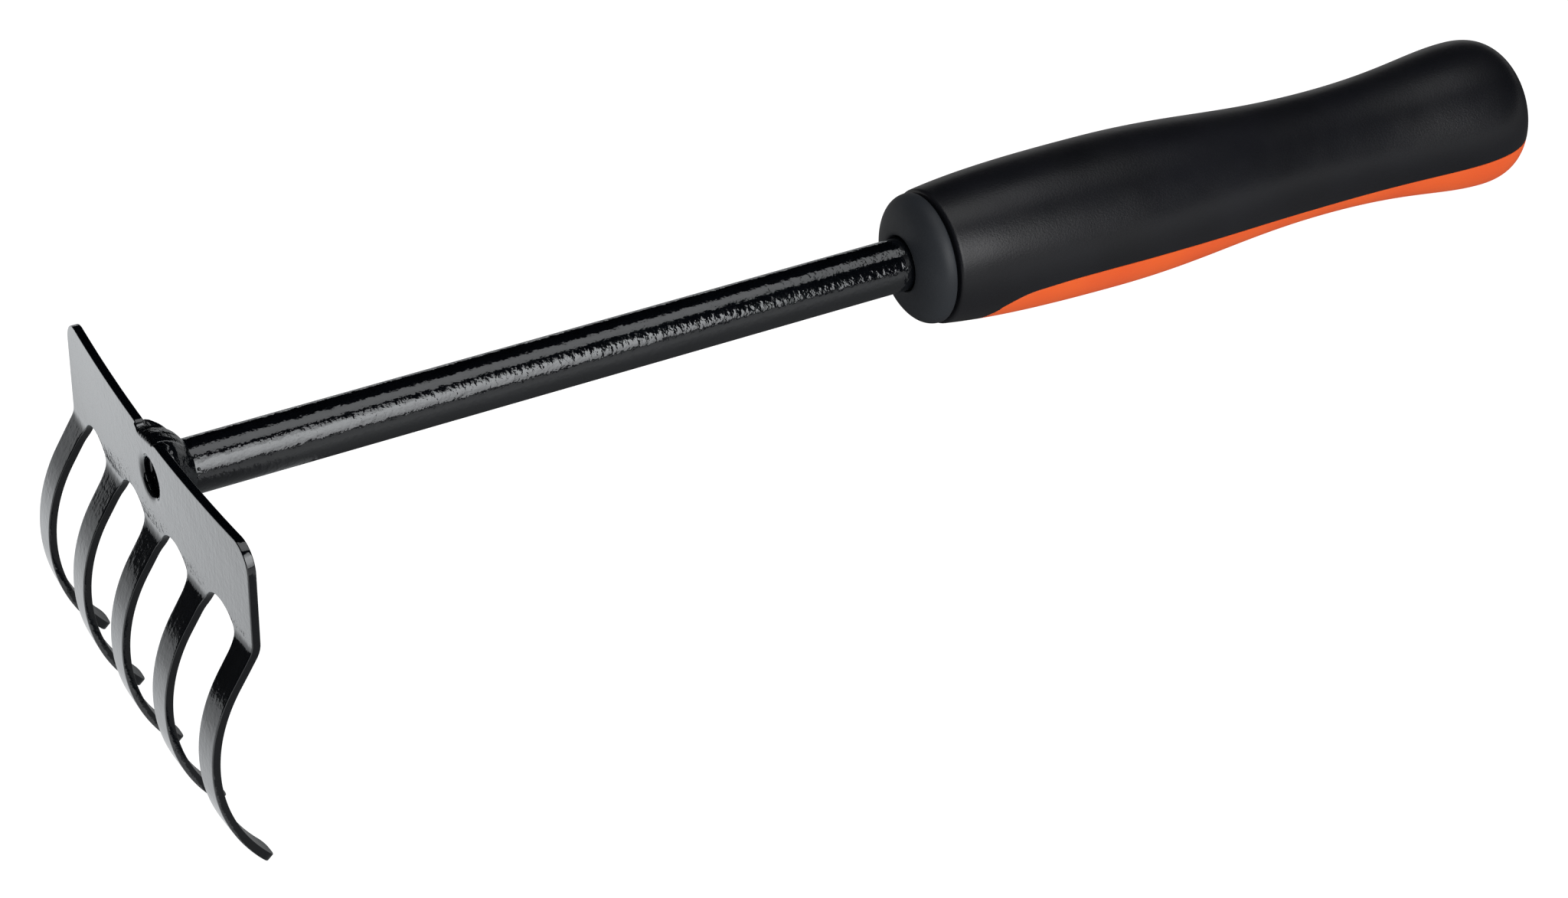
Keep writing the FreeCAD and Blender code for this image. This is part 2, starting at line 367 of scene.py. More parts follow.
def fillBetween(outer, inner, depth, points, faces):
    # triangles over the blank's face between its outline and its hole
    step = head["fillStep"]
    ys = np.arange(-headWidth / 2, headWidth / 2, step)
    bendRun = head["bendRadius"] * math.radians(head["lean"])
    runs = np.concatenate([
        np.arange(-head["topRise"], head["bendDrop"] - 0.5 * step, step),
        head["bendDrop"] + np.linspace(-0.3, bendRun + 0.3, 9),
        np.arange(head["bendDrop"] + bendRun + step, head["fillEnd"], step),
    ])
    grid = np.array([(y, run) for run in runs for y in ys])
    loops = np.concatenate([outer, inner])
    keep = insideLoop(grid, outer) & ~insideLoop(grid, inner)
    grid = grid[keep]
    clear = np.array([np.min(np.hypot(*(loops - p).T)) > 0.4 * step for p in grid])
    grid = grid[clear]
    given = np.concatenate([loops, grid])
    ring = len(outer)
    edges = [(k, (k + 1) % ring) for k in range(ring)]
    edges += [(ring + k, ring + (k + 1) % len(inner)) for k in range(len(inner))]
    found = geometry.delaunay_2d_cdt([Vector(p) for p in given], edges, [], 0, 1e-6)
    flat = np.array([tuple(v) for v in found[0]])
    middles = np.array([flat[list(tri)].mean(axis=0) for tri in found[2]])
    good = insideLoop(middles, outer) & ~insideLoop(middles, inner)
    start = len(points)
    points += [onHead(y, run, depth) for y, run in flat]
    faces += [tuple(start + v for v in tri) for tri, ok in zip(found[2], good) if ok]


def makeHead(material):
    outer = np.array(headOutline())
    radius = hole["dims"]["r_mm"]
    inner = np.array(arcPoints((0, 0), radius, 0, 360, head["holeSteps"])[:-1])
    points = []
    faces = []
    fronts = []
    backs = []
    arris = head["arris"]
    margin = head["burrMargin"]
    for loop, towardsInside, edge in ((outer, True, (arris, arris, arris)),
                                      (inner, False, (head["holeLip"], head["holeDish"], arris))):
        normals = inwardNormals(loop, towardsInside)
        profile = edgeProfile(*edge)
        rings = []
        for inset, depth in profile:
            flat = loop + normals * inset
            wall = margin < depth < sheet - margin
            rough = head["burr"] if wall and towardsInside else 0.0
            ids = []
            for y, run in flat:
                spot = [value * pitch for value, pitch in zip((y, run, depth), head["burrPitch"])]
                shift = rough * noise.noise(Vector(spot))
                ids.append(len(points))
                points.append(onHead(y + shift, run + shift, depth))
            rings.append(ids + ids[:1])
        for first, second in zip(rings, rings[1:]):
            stitch(faces, first, second)
        fronts.append(loop + normals * profile[0][0])
        backs.append(loop + normals * profile[-1][0])
    fillBetween(*fronts, 0.0, points, faces)
    fillBetween(*backs, sheet, points, faces)
    makePiece("rakeHead", points, faces, onShaft, "rake_head", material)


weld = {
    "legPlate": 6.0, "legTube": 6.6, "legWander": 0.5, "crown": 1.3, "around": 260, "rows": 34,
    "seat": 0.05, "footRise": (1.0, 0.5), "shoulderAt": 0.60, "shoulder": 3.3, "root": (0.3, 0.4),
    "rippleSpacing": 2.4, "rippleHeight": 0.04, "rippleLean": 1.4, "lump": 0.34, "lumpPitch": 0.28,
    "grit": 0.26, "gritSize": 0.75, "fine": 0.05, "crustAt": 0.16, "crustWidth": 0.22,
    # where the bead runs over the notch: how far it laps, stands proud, swells and starts early
    "overlap": 0.5, "proud": 0.15, "hump": 1.5, "early": 0.8, "lapLean": 0.5, "lapCrown": 0.7,
    "drops": 9, "dropTurn": (-30, 60), "dropScatter": (-0.8, 1.2), "dropRadius": (0.22, 0.45),
}


def legAt(length, angle, pitch, seed):
    # a leg of the bead, which wanders a little on its way round the shaft
    spot = Vector((math.cos(angle) * pitch, math.sin(angle) * pitch, seed))
    return length + weld["legWander"] * noise.noise(spot)


def weldSection(angle):
    # the bead's surface at one place round the shaft: foot on the plate to toe on the tube; at the
    # top the foot laps over the notch onto the front of the plate
    reach = legAt(tubeRadius + weld["legPlate"], angle, 1.4, 3.0)
    legTube = legAt(weld["legTube"], angle, 1.8, 9.0)
    lap = 0.0
    if math.sin(angle) > 0.3:
        edge = head["topRise"]
        for _ in range(8):
            edge = topEdge(edge * math.cos(angle)) / math.sin(angle)
        beside = edge * math.cos(angle) - weld["early"]
        lap = easeIn(max(weldNotch(edge * math.cos(angle)), weldNotch(beside)) / 0.5)
        edge = min(edge, topEdge(beside) / math.sin(angle))
    riseAlong, riseUp = weld["footRise"]
    foot = Vector((sheet + weld["seat"], reach))
    rise = Vector((sheet + riseAlong, reach + riseUp))
    if lap > 0:
        foot = foot.lerp(Vector((-weld["proud"], edge - weld["overlap"])), lap)
        rise = rise.lerp(Vector((-weld["lapLean"], edge + weld["hump"])), lap)
    shoulder = tubeRadius + weld["shoulder"] + weld["crown"] + weld["lapCrown"] * lap
    fall = Vector((sheet + legTube * weld["shoulderAt"], shoulder))
    toe = Vector((sheet + legTube, tubeRadius - weld["seat"]))
    return foot, rise, fall, toe


def drop(points, faces, centre, radius):
    # one bead of spatter, sunk to half its depth
    around, rows = 10, 6
    rings = []
    for row in range(rows + 1):
        tilt = math.pi * row / rows
        wide = radius * math.sin(tilt)
        ring = []
        for k in range(around):
            turn = 2 * math.pi * k / around
            ring.append(len(points))
            points.append((centre[0] + wide * math.cos(turn),
                           centre[1] + wide * math.sin(turn),
                           centre[2] + radius * math.cos(tilt)))
        rings.append(ring + ring[:1])
    for first, second in zip(rings, rings[1:]):
        stitch(faces, first, second)


def makeWeld(material):
    points = []
    faces = []
    rings = []
    rootAlong, rootDeep = weld["root"]
    root = tubeRadius - rootDeep
    out = Vector((0.6, 0.8))         # away from the corner that the bead fills
    for k in range(weld["around"]):
        angle = 2 * math.pi * k / weld["around"]
        foot, rise, fall, toe = weldSection(angle)
        ring = []
        arcLength = angle * (tubeRadius + 3)
        for row in range(weld["rows"] + 1):
            t = row / weld["rows"]
            s = 1 - t
            place = foot * s ** 3 + rise * 3 * s * s * t + fall * 3 * s * t * t + toe * t ** 3
            middle = math.sin(math.pi * t)
            phase = (arcLength + weld["rippleLean"] * middle) / weld["rippleSpacing"]
            swell = weld["rippleHeight"] * math.sin(2 * math.pi * phase) * middle
            spot = Vector((place.x, place.y * math.cos(angle), place.y * math.sin(angle)))
            swell += weld["lump"] * noise.noise(spot * weld["lumpPitch"]) * middle
            crust = max(0.0, 1 - abs(t - weld["crustAt"]) / weld["crustWidth"])
            swell += (weld["grit"] * crust + weld["fine"] * middle) * noise.noise(spot / weld["gritSize"])
            place = place + out * swell
            ring.append(len(points))
            points.append((place.x, place.y * math.cos(angle), place.y * math.sin(angle)))
        ring.append(len(points))
        points.append((sheet + rootAlong, root * math.cos(angle), root * math.sin(angle)))
        rings.append(ring + ring[:1])
    for first, second in zip(rings, rings[1:] + rings[:1]):
        stitch(faces, first, second)
    chance = random.Random(4)
    for _ in range(weld["drops"]):
        angle = math.radians(chance.uniform(*weld["dropTurn"])) + math.pi
        x = sheet + weld["legTube"] + chance.uniform(*weld["dropScatter"])
        centre = (x, tubeRadius * math.cos(angle), tubeRadius * abs(math.sin(angle)))
        drop(points, faces, centre, chance.uniform(*weld["dropRadius"]))
    makePiece("weldBead", points, faces, onShaft, "weld_bead", material)


shaft = {"wall": 2.0, "length": 285.0, "around": 144, "step": 3.0, "mouthRound": 0.5, "chamfer": 0.3}


def makeTube(material):
    bore = tubeRadius - shaft["wall"]
    end = sheet + shaft["length"]
    lip = shaft["mouthRound"]
    count = round(shaft["length"] / shaft["step"])
    along = [sheet + lip + (end - sheet - lip) * k / count for k in range(count + 1)]
    profile = [(x, tubeRadius) for x in along]
    profile += [(x, bore) for x in reversed(along)]
    profile += arcPoints((sheet + lip, bore + lip), lip, 270, 180, 4)[1:]
    profile += [(sheet, tubeRadius - shaft["chamfer"]), (sheet + shaft["chamfer"], tubeRadius)]
    points, faces = spin(profile, shaft["around"])
    makePiece("shaftTube", points, faces, onShaft, "shaft_tube", material)


handle = {
    "start": 194.7, "droop": 1.0, "length": 169.3, "frontRadius": 16.1,
    "bellyRadius": 18.55, "bellyAt": 48.0, "waistRadius": 15.2, "waistAt": 111.0,
    "knobRadius": 18.4, "knobBack": 13.0, "wall": 2.5, "groove": 0.9, "lip": 0.7,
    "arris": 0.28, "seam": 0.05, "beside": 0.35, "stations": 230, "columns": 42, "lead": 34,
    "lipSteps": 8, "roundSteps": 4, "tongueFront": 8.5,
    "coreStart": 5.0, "coreArris": 0.7, "coreTuck": 0.02, "coreColumns": 30, "coreLead": 10,
    "underColumns": 14,
}
onHandle = (onShaft @ Matrix.Translation((handle["start"], 0, 0))
            @ Matrix.Rotation(math.radians(handle["droop"]), 4, "Y"))


def bezierPoints(poles, steps):
    # a cubic curve through its first and last pole, drawn by the two between
    a, b, c, d = [Vector(p) for p in poles]
    line = []
    for k in range(steps + 1):
        t = k / steps
        s = 1 - t
        line.append(tuple(a * s ** 3 + b * 3 * s * s * t + c * 3 * s * t * t + d * t ** 3))
    return line


def gripOutline():
    # (along, radius) from the groove over belly, waist and knob to the end of the butt
    front = (0, handle["frontRadius"])
    belly = (handle["bellyAt"], handle["bellyRadius"])
    waist = (handle["waistAt"], handle["waistRadius"])
    knob = (handle["length"] - handle["knobBack"], handle["knobRadius"])
    butt = (handle["length"], 0)
    rise = belly[1] - front[1]
    fall = waist[0] - belly[0]
    swell = knob[0] - waist[0]
    curves = [
        (front, (0.25 * belly[0], front[1] + 0.72 * rise), (0.52 * belly[0], belly[1]), belly),
        (belly, (belly[0] + 0.4 * fall, belly[1]), (waist[0] - 0.4 * fall, waist[1]), waist),
        (waist, (waist[0] + 0.55 * swell, waist[1]), (knob[0] - 0.25 * swell, knob[1]), knob),
        (knob, (knob[0] + 0.75 * handle["knobBack"], knob[1]), (butt[0], 0.75 * knob[1]), butt),
    ]
    line = []
    curveSteps = 120
    for poles in curves:
        line += bezierPoints(poles, curveSteps)[:-1]
    return line + [butt]


def partingLine():
    # distance behind the groove and height above the handle's axis of the edge of the bare core
    front = handle["tongueFront"]
    points = [
        (front, -handle["bellyRadius"]),
        (front + 1.5, -12.4),
        (front + 8.5, -6.6),
        (front + 17.5, -5.0),
        (handle["bellyAt"] + 8.0, -4.6),
        (handle["waistAt"] - 3.0, -6.5),
        (handle["length"] - 19.3, -4.2),
        (handle["length"] - 7.3, -2.2),
        (handle["length"] - 1.5, -0.7),
        (handle["length"], 0.0),
    ]
    return smoothThrough(points, 60)


class Profile:
    # a turned outline that gives place and outward normal at any distance along it
    def __init__(self, line):
        self.line = np.array(line, float)
        step = np.linalg.norm(np.diff(self.line, axis=0), axis=1)
        self.travel = np.concatenate([[0], np.cumsum(step)])
        self.total = self.travel[-1]
        along = np.gradient(self.line, axis=0)
        along /= np.linalg.norm(along, axis=1)[:, None]
        self.normal = np.stack([-along[:, 1], along[:, 0]], axis=1)

    def at(self, travel):
        x, r = [np.interp(travel, self.travel, self.line[:, k]) for k in (0, 1)]
        return x, max(r, 0.0)

    def surface(self, travel, angle, depth):
        x, r = self.at(travel)
        nx, nr = [np.interp(travel, self.travel, self.normal[:, k]) for k in (0, 1)]
        r = max(0.0, r - nr * depth)
        return x - nx * depth, r * math.cos(angle), r * math.sin(angle)

    def travelAt(self, x):
        return np.interp(x, self.line[:, 0], self.travel)


def partingOn(profile):
    # the parting line as (travel, angle) from the tongue's tip to the end of the butt, one side
    trail = []
    for x, z in partingLine():
        travel = profile.travelAt(x)
        r = profile.at(travel)[1]
        if z > -r:
            trail.append((travel, math.asin(max(-1.0, min(1.0, z / r))) if r > 0.01 else 0.0))
    tip = trail[0][0] - 0.02
    trail = [(tip, -math.pi / 2)] + trail
    places = [profile.surface(u, a, 0) for u, a in trail]
    both = np.array([(u, a, *p) for (u, a), p in zip(trail, places)])
    travel = np.concatenate([[0], np.cumsum(np.linalg.norm(np.diff(both[:, 2:], axis=0), axis=1))])
    wanted = np.linspace(0, travel[-1], handle["stations"] + 1)
    return np.stack([np.interp(wanted, travel, both[:, k]) for k in (0, 1)], axis=1)


def besideParting(profile, trail, aside):
    # the parting line moved sideways over the surface, up onto the grip or down onto the core
    moved = []
    for k, (u, a) in enumerate(trail):
        u0, a0 = trail[max(0, k - 1)]
        u1, a1 = trail[min(len(trail) - 1, k + 1)]
        r = max(profile.at(u)[1], 0.01)
        along = Vector((u1 - u0, (a1 - a0) * r))
        if k == 0:
            along = Vector((0, 1))
        along.normalize()
        shift = aside * min(1.0, r / 3)      # dies away where the butt closes
        moved.append((u - along.y * shift, a + along.x * shift / r))
    moved[-1] = tuple(trail[-1])
    return moved


def halfPatch(profile, low, high, columns, depth, points, faces):
    # a grid of quads between two lines of (travel, angle), on one side of the handle
    rows = []
    for (u0, a0), (u1, a1) in zip(low, high):
        row = []
        for k in range(columns + 1):
            t = k / columns
            row.append(len(points))
            points.append(profile.surface(u0 + (u1 - u0) * t, a0 + (a1 - a0) * t, depth))
        rows.append(row)
    for first, second in zip(rows, rows[1:]):
        stitch(faces, first, second)
    return rows[0]


def skirt(profile, lines, points, faces):
    # quads that join lines of (travel, angle) at their own depths
    rows = []
    for line, depth in lines:
        row = []
        for u, a in line:
            row.append(len(points))
            points.append(profile.surface(u, a, depth))
        rows.append(row)
    for first, second in zip(rows, rows[1:]):
        stitch(faces, first, second)


def mirrored(points, faces):
    # both sides of the handle from one
    count = len(points)
    points = points + [(x, -y, z) for x, y, z in points]
    faces = faces + [tuple(count + k for k in reversed(face)) for face in faces]
    return points, faces


def bottomRun(start, end, count):
    return [(start + (end - start) * k / count, -math.pi / 2) for k in range(count)]


def topRun(start, end, count):
    return [(start + (end - start) * k / count, math.pi / 2) for k in range(count + 1)]


def roundOver(radius, steps):
    # (aside, depth) from the surface down over a rounded edge
    turns = [math.pi / 2 * k / steps for k in range(steps + 1)]
    return [(radius * (1 - math.sin(t)), radius * (1 - math.cos(t))) for t in turns]


def makeGrip(material):
    body = gripOutline()
    front = handle["groove"] / 2
    lip = handle["lip"]
    radius = handle["frontRadius"]
    inside = radius - handle["wall"]
    curve = [(x, r) for x, r in body if x > front + lip]
    line = [(front, inside), (front, radius - lip)]
    steps = handle["lipSteps"]
    line += [(front + lip * (1 - math.cos(t)), curve[0][1] - lip * (1 - math.sin(t)))
             for t in [math.pi / 2 * k / steps for k in range(1, steps + 1)]]
    profile = Profile(line + curve)
    trail = partingOn(profile)
    edge = handle["arris"]
    clear = edge + handle["beside"]
    lead = handle["lead"]
    points = []
    faces = []
    outer = besideParting(profile, trail, clear)
    low = bottomRun(0, outer[0][0], lead) + outer
    high = topRun(0, profile.total, len(low) - 1)
    outerFront = halfPatch(profile, low, high, handle["columns"], 0, points, faces)
    rounding = roundOver(edge, handle["roundSteps"])
    lines = [(outer, 0)] + [(besideParting(profile, trail, a), d) for a, d in rounding]
    lines.append((trail, handle["wall"]))
    skirt(profile, lines, points, faces)
    bare = Profile([(x, r) for x, r in body if x >= front])
    shift = bare.travelAt(profile.at(trail[0][0])[0]) - trail[0][0]
    innerTrail = [(min(u + shift, bare.total), a) for u, a in trail[:-1]]
    innerTrail.append((bare.total, trail[-1][1]))
    low = bottomRun(0, innerTrail[0][0], lead) + innerTrail
    high = topRun(0, bare.total, len(low) - 1)
    innerFront = halfPatch(bare, low, high, handle["columns"], handle["wall"], points, faces)
    stitch(faces, outerFront, innerFront)
    points, faces = mirrored(points, faces)
    makePiece("gripShell", points, faces, onHandle, "grip_shell", material)


def makeCore(material):
    front = handle["groove"] / 2 + handle["coreStart"]
    profile = Profile([(x, r) for x, r in gripOutline() if x >= front])
    trail = partingOn(profile)
    edge = handle["arris"] * handle["coreArris"]
    gap = handle["seam"]
    clear = edge + gap + handle["beside"]
    deep = handle["wall"] + handle["coreTuck"]
    points = []
    faces = []
    outer = besideParting(profile, trail, -clear)
    count = len(trail)
    low = [(u, -math.pi / 2) for u in np.linspace(outer[0][0], profile.total, count)]
    halfPatch(profile, low, outer, handle["coreColumns"], 0, points, faces)
    rounding = roundOver(edge, handle["roundSteps"])
    lines = [(outer, 0)] + [(besideParting(profile, trail, -a - gap), d) for a, d in rounding]
    under = besideParting(profile, trail, -gap)
    lines.append((under, deep))
    skirt(profile, lines, points, faces)
    low = bottomRun(0, under[0][0], handle["coreLead"]) + under
    high = topRun(0, profile.total, len(low) - 1)
    ring = halfPatch(profile, low, high, handle["underColumns"], deep, points, faces)
    middle = len(points)     # closes the core's front, inside the nose
    points.append((points[ring[0]][0], 0.0, 0.0))
    faces += [(ring[k], ring[k + 1], middle) for k in range(len(ring) - 1)]
    points, faces = mirrored(points, faces)
    makePiece("handleCore", points, faces, onHandle, "handle_core", material)


nose = {
    "depth": 7.5, "radius": 15.7, "gap": 0.4, "mouthDepth": 3.0, "mouthRound": 0.5,
    "edgeRound": 0.35, "around": 160, "steps": 40, "flat": 2.25,
    "neck": 2.4, "slack": 0.3, "spigot": 5.4, "clear": 0.02,
}


def makeNose(material):
    # a domed cap: an ellipse a little flatter than round, with a clear ring round the shaft
    mouth = tubeRadius + nose["gap"]
    lip = nose["mouthRound"]
    back = -handle["groove"] / 2
    dome = []
    for k in range(nose["steps"] + 1):
        turn = math.pi / 2 * k / nose["steps"]
        rise = math.sin(turn) ** (2 / nose["flat"])
        across = math.cos(turn) ** (2 / nose["flat"])
        x = back - nose["edgeRound"] - (nose["depth"] + back - nose["edgeRound"]) * rise
        r = nose["radius"] * across
        if r > mouth + lip:
            dome.append((x, r))
    tip = dome[-1][0]
    seat = tubeRadius + nose["clear"]
    neck = handle["frontRadius"] - nose["neck"] - nose["slack"]
    profile = dome + arcPoints((tip + lip, mouth + lip), lip, 180, 270, 5)
    profile += [(tip + nose["mouthDepth"], mouth), (tip + nose["mouthDepth"], seat)]
    profile += [(nose["spigot"], seat), (nose["spigot"], neck), (back, neck)]
    rounding = nose["edgeRound"]
    profile += arcPoints((back - rounding, nose["radius"] - rounding), rounding, 0, 90, 5)[:-1]
    points, faces = spin(profile, nose["around"])
    makePiece("noseCollar", points, faces, onHandle, "nose_collar", material)


def blackEnamel(name, roughness, coat, peel, dust, sag):
    # Stoved gloss enamel over sprayed steel: a deep black that mirrors the room, with orange peel
    # and fine sags that make straight reflections run ragged, and a little dust in the film.
    material, tree, where = newMaterial(name)
    drawn = addNode(tree, "ShaderNodeMapping", {"Vector": where, "Scale": (0.12, 1.0, 0.12)})
    runs = blotches(tree, drawn.outputs["Vector"], size=0.8, detail=1.0, seed=9.0)
    wide = blotches(tree, where, size=9.0, detail=1.0, seed=1.0)
    fine = blotches(tree, where, size=1.3, detail=2.5, seed=4.0)
    specks = blotches(tree, where, size=0.5, detail=0.0, seed=8.0)
    swell = addNode(tree, "ShaderNodeBump", {"Height": wide, "Distance": peel * 1.2 * mm})
    ragged = addNode(tree, "ShaderNodeBump",
                     {"Height": fine, "Distance": peel * mm, "Normal": swell.outputs["Normal"]})
    sagged = addNode(tree, "ShaderNodeBump",
                     {"Height": runs, "Distance": sag * mm, "Normal": ragged.outputs["Normal"]})
    grit = addNode(tree, "ShaderNodeBump",
                   {"Height": specks, "Distance": dust * mm, "Normal": sagged.outputs["Normal"]})
    colour = addNode(tree, "ShaderNodeMix", {0: wide, 6: hexColour("#030406"), 7: hexColour("#06070A")},
                     data_type="RGBA")
    gloss = blotches(tree, where, size=5.0, low=roughness * 0.8, high=roughness * 1.25, seed=6.0)
    finishMaterial(tree, {
        "Base Color": colour.outputs[2], "Roughness": gloss, "IOR": 1.5, "Specular IOR Level": 0.5,
        "Coat Weight": coat, "Coat Roughness": 0.06, "Coat IOR": 1.5, "Coat Tint": hexColour("#F4FAFF"),
        "Normal": grit.outputs["Normal"], "Coat Normal": grit.outputs["Normal"],
    })
    return material


def mouldedPlastic(name, dark, light, roughness, grainSize, grain):
    # Injection-moulded polypropylene from a finely spark-eroded tool: satin, with a soft grain.
    material, tree, where = newMaterial(name)
    cloud = blotches(tree, where, size=14.0, seed=2.0)
    texture = blotches(tree, where, size=grainSize, detail=1.0, seed=5.0)
    eroded = addNode(tree, "ShaderNodeBump", {"Height": texture, "Distance": grain * mm})
    gloss = blotches(tree, where, size=8.0, low=roughness - 0.04, high=roughness + 0.04, seed=3.0)
    colour = addNode(tree, "ShaderNodeMix", {0: cloud, 6: hexColour(dark), 7: hexColour(light)},
                     data_type="RGBA")
    finishMaterial(tree, {"Base Color": colour.outputs[2], "Roughness": gloss, "IOR": 1.49,
                          "Specular IOR Level": 0.4, "Normal": eroded.outputs["Normal"]})
    return material


def softRubber(name):
    # Moulded thermoplastic elastomer: nearly black, with a dull sheen that spreads every highlight,
    # and gloss that wanders a little from patch to patch.
    material, tree, where = newMaterial(name)
    cloud = blotches(tree, where, size=18.0, seed=2.0)
    texture = blotches(tree, where, size=0.45, detail=1.5, seed=5.0)
    flow = blotches(tree, where, size=22.0, detail=1.0, seed=7.0)
    wavy = addNode(tree, "ShaderNodeBump", {"Height": flow, "Distance": 0.10 * mm})
    grained = addNode(tree, "ShaderNodeBump",
                      {"Height": texture, "Distance": 0.014 * mm, "Normal": wavy.outputs["Normal"]})
    gloss = blotches(tree, where, size=11.0, low=0.30, high=0.38, seed=3.0)
    colour = addNode(tree, "ShaderNodeMix", {0: cloud, 6: hexColour("#0D0E12"), 7: hexColour("#121318")},
                     data_type="RGBA")
    finishMaterial(tree, {"Base Color": colour.outputs[2], "Roughness": gloss, "IOR": 1.5,
                          "Specular IOR Level": 0.42, "Normal": grained.outputs["Normal"]})
    return material


# heights of peel, dust, sags and grain in millimetres
pressedEnamel = blackEnamel("stovedEnamelOnPressedSteel", roughness=0.10, coat=0.95,
                            peel=0.022, dust=0.003, sag=0.010)
weldEnamel = blackEnamel("stovedEnamelOverWeld", roughness=0.22, coat=0.7,
                         peel=0.05, dust=0.02, sag=0.0)
tubeEnamel = blackEnamel("stovedEnamelOnDrawnTube", roughness=0.10, coat=1.0,
                         peel=0.050, dust=0.003, sag=0.0)
nosePlastic = mouldedPlastic("mouldedBlackPolypropylene", "#1E2126", "#25292E",
                             roughness=0.52, grainSize=0.35, grain=0.010)
corePlastic = mouldedPlastic("mouldedOrangePolypropylene", "#D84E0A", "#DD560D",
                             roughness=0.44, grainSize=0.40, grain=0.006)
gripRubber = softRubber("mouldedBlackElastomer")
print("materials made")

makeHead(pressedEnamel)
makeWeld(weldEnamel)
makeTube(tubeEnamel)
makeNose(nosePlastic)
makeCore(corePlastic)
makeGrip(gripRubber)


studio = {
    "floorSize": 8.0, "floorColour": "#7C7C7C", "floorGlow": 0.95, "skyStrength": 0.62,
    # softboxes: middle, direction they face, direction of their top, size, and radiance from their
    # top to their foot
    "overhead": {
        "at": (0.28, -0.03, 1.05), "facing": (0, 0, -1), "top": (0, 1, 0), "size": (1.0, 0.70),
        "radiance": ((0.0, 1.15), (0.5, 1.35), (1.0, 1.2)),
    },
    "side": {
        "at": (0.068, -0.785, 0.475), "facing": (0, 0.887, -0.461), "top": (-0.12, 0.461, 0.887),
        "size": (0.69, 0.91),
        "radiance": ((0.0, 1.9), (0.18, 2.6), (0.40, 4.2), (0.55, 3.8), (0.7, 3.2), (0.85, 2.5),
                     (1.0, 1.9)),
    },
    # cards that only reflections see: each from a corner along its length and its rise, with its
    # radiance at distances from the corner along the direction given
    # painted shadow: this card is the floor as only reflections see it, darkest in the strip under the
    # rake where the rake's shadow falls and brighter away from it; it lights nothing
    "cloth": {
        "corner": (-0.183, 1.2, 0.0004), "length": (1.9, 0, 0), "rise": (0, -5.0, 0),
        "along": (0, -1, 0),
        "radiance": ((0.0, 0.28), (1.09, 0.32), (1.11, 0.32), (1.135, 0.08), (1.15, 0.04),
                     (1.19, 0.05), (1.235, 0.17), (1.27, 0.34), (1.333, 0.54), (1.55, 0.50),
                     (2.12, 0.48), (2.16, 0.02), (5.0, 0.02)),
    },
    "table": {
        "corner": (-0.183, 1.2, 0.0004), "length": (-1.2, 0, 0), "rise": (0, -2.0, 0),
        "along": (-1, 0, 0),
        "radiance": ((0.0, 0.66), (0.014, 0.74), (0.024, 0.96), (0.035, 1.06), (0.06, 1.08),
                     (0.08, 0.98), (0.11, 0.76), (0.2, 0.65), (1.2, 0.55)),
    },
    "shade": {
        "corner": (-0.183, 0.10, 0.0007), "length": (0.058, 0, 0), "rise": (0, -0.3, 0),
        "along": (1, 0, 0),
        "radiance": ((0.0, 0.17), (0.042, 0.14), (0.058, 0.22)),
    },
    "screen": {
        "corner": (-0.34, 0.45, 0.0), "length": (-0.30, -0.36, 0), "rise": (0, 0, 0.5),
        "along": (-0.26, -0.31, 1.0),
        "radiance": ((0.0, 0.65), (0.045, 0.55), (0.092, 0.49), (0.107, 0.40), (0.116, 0.02),
                     (0.3, 0.02)),
    },
    "camera": {
        "lens": 96.115, "sensor": 36.0, "at": (-0.34553, -0.70384, 0.62467),
        "turn": (51.1706, 5.987, -29.5052),
    },
}


def placeStage(name, points, material):
    # one four-cornered sheet of the studio, which is no part of the rake
    mesh = bpy.data.meshes.new(name)
    mesh.from_pydata(points, [], [(0, 1, 2, 3)])
    mesh.materials.append(material)
    item = bpy.data.objects.new(name, mesh)
    bpy.context.scene.collection.objects.link(item)
    return item


def glowing(name, origin, direction, length, steps):
    # light that changes along one direction in the steps given, as over a softbox's face
    material, tree, where = newMaterial(name)
    away = addNode(tree, "ShaderNodeVectorMath", {0: where, 1: tuple(origin)},
                   operation="SUBTRACT")
    along = addNode(tree, "ShaderNodeVectorMath", {0: away.outputs[0], 1: tuple(direction)},
                    operation="DOT_PRODUCT")
    share = addNode(tree, "ShaderNodeMath", {0: along.outputs["Value"], 1: length},
                    operation="DIVIDE")
    peak = max(level for _, level in steps)
    ramp = addNode(tree, "ShaderNodeValToRGB", {"Fac": share.outputs[0]})
    ramp.color_ramp.interpolation = "EASE"
    while len(ramp.color_ramp.elements) < len(steps):
        ramp.color_ramp.elements.new(0.5)
    for element, (place, level) in zip(ramp.color_ramp.elements, steps):
        element.position = place
        element.color = (level / peak, level / peak, level / peak, 1)
    glow = addNode(tree, "ShaderNodeEmission", {"Color": ramp.outputs["Color"], "Strength": peak})
    addNode(tree, "ShaderNodeOutputMaterial", {"Surface": glow.outputs[0]})
    return material


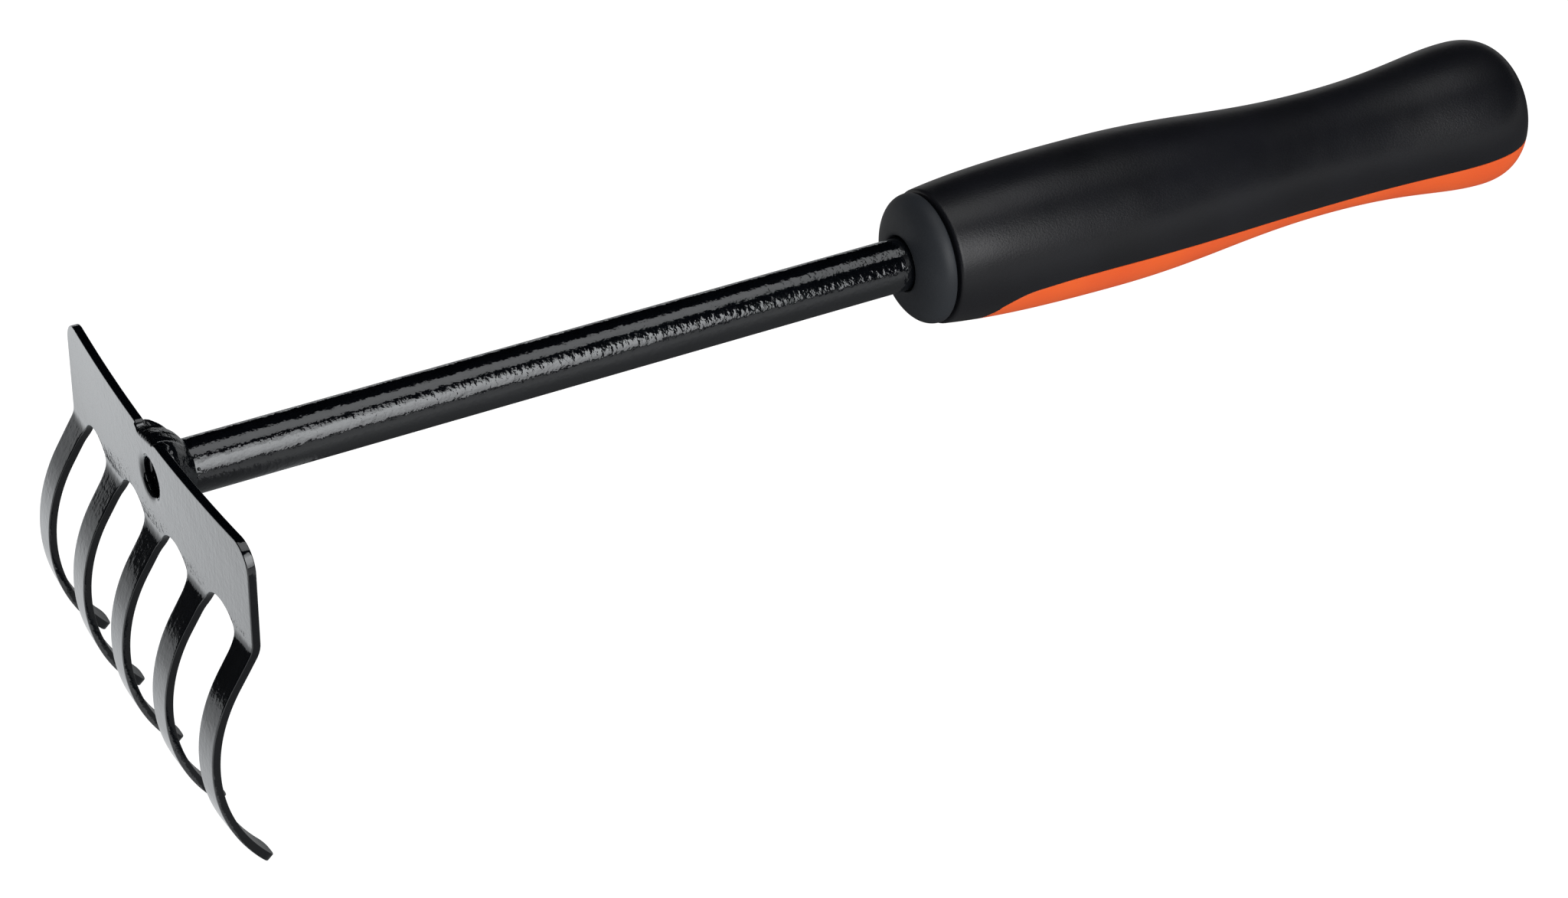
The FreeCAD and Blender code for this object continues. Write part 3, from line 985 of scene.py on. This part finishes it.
def makeFloor():
    # Opal acrylic lit from below: an even white right up to the rake, and no hard shadow. Its own
    # colour is a middle grey, so that it throws little of the orange about.
    half = studio["floorSize"] / 2
    material, tree, where = newMaterial("litAcrylicTable")
    finishMaterial(tree, {"Base Color": hexColour(studio["floorColour"]), "Roughness": 0.9,
                          "Specular IOR Level": 0.1, "Emission Color": hexColour("#FFFFFF"),
                          "Emission Strength": studio["floorGlow"]})
    corners = [(-half, -half, 0), (half, -half, 0), (half, half, 0), (-half, half, 0)]
    placeStage("floor", corners, material)


def makeSoftbox(name, at, facing, top, size, radiance):
    facing = Vector(facing).normalized()
    across = facing.cross(Vector(top)).normalized()
    up = across.cross(facing)
    middle = Vector(at)
    start = middle + up * size[1] / 2
    material = glowing(name, start, -up, size[1], radiance)
    corners = [middle + across * (size[0] / 2 * i) + up * (size[1] / 2 * j)
               for i, j in ((-1, -1), (1, -1), (1, 1), (-1, 1))]
    box = placeStage(name, corners, material)
    box.visible_camera = False
    box.visible_shadow = False


def makeCard(name, corner, length, rise, along, radiance):
    corner, length, rise, along = [Vector(v) for v in (corner, length, rise, along)]
    reach = radiance[-1][0]
    steps = [(place / reach, level) for place, level in radiance]
    material = glowing(name, corner, along.normalized(), reach, steps)
    corners = [corner, corner + length, corner + length + rise, corner + rise]
    item = placeStage(name, corners, material)
    for sight in ("camera", "diffuse", "transmission", "volume_scatter", "shadow"):
        setattr(item, "visible_" + sight, False)


def makeWorld():
    # an even white room that lights the rake, but leaves reflections to the softboxes and cards
    world = bpy.data.worlds.new("studio")
    bpy.context.scene.world = world
    world.use_nodes = True
    background = world.node_tree.nodes["Background"]
    background.inputs["Color"].default_value = hexColour("#FFFFFF")
    background.inputs["Strength"].default_value = studio["skyStrength"]
    world.cycles_visibility.glossy = False


def makeCamera():
    view = studio["camera"]
    camera = bpy.data.objects.new("camera", bpy.data.cameras.new("camera"))
    camera.data.lens = view["lens"]
    camera.data.sensor_width = view["sensor"]
    camera.location = view["at"]
    camera.rotation_euler = [math.radians(angle) for angle in view["turn"]]
    bpy.context.scene.collection.objects.link(camera)
    bpy.context.scene.camera = camera


makeFloor()
for name in ("overhead", "side"):
    makeSoftbox(name, **studio[name])
# the first of these cards is the floor with a painted shadow of the rake, seen only in reflections
for name in ("cloth", "table", "shade", "screen"):
    makeCard(name, **studio[name])
makeWorld()
makeCamera()
bpy.context.scene.view_settings.view_transform = "Standard"
print("floor, lights and camera in place")
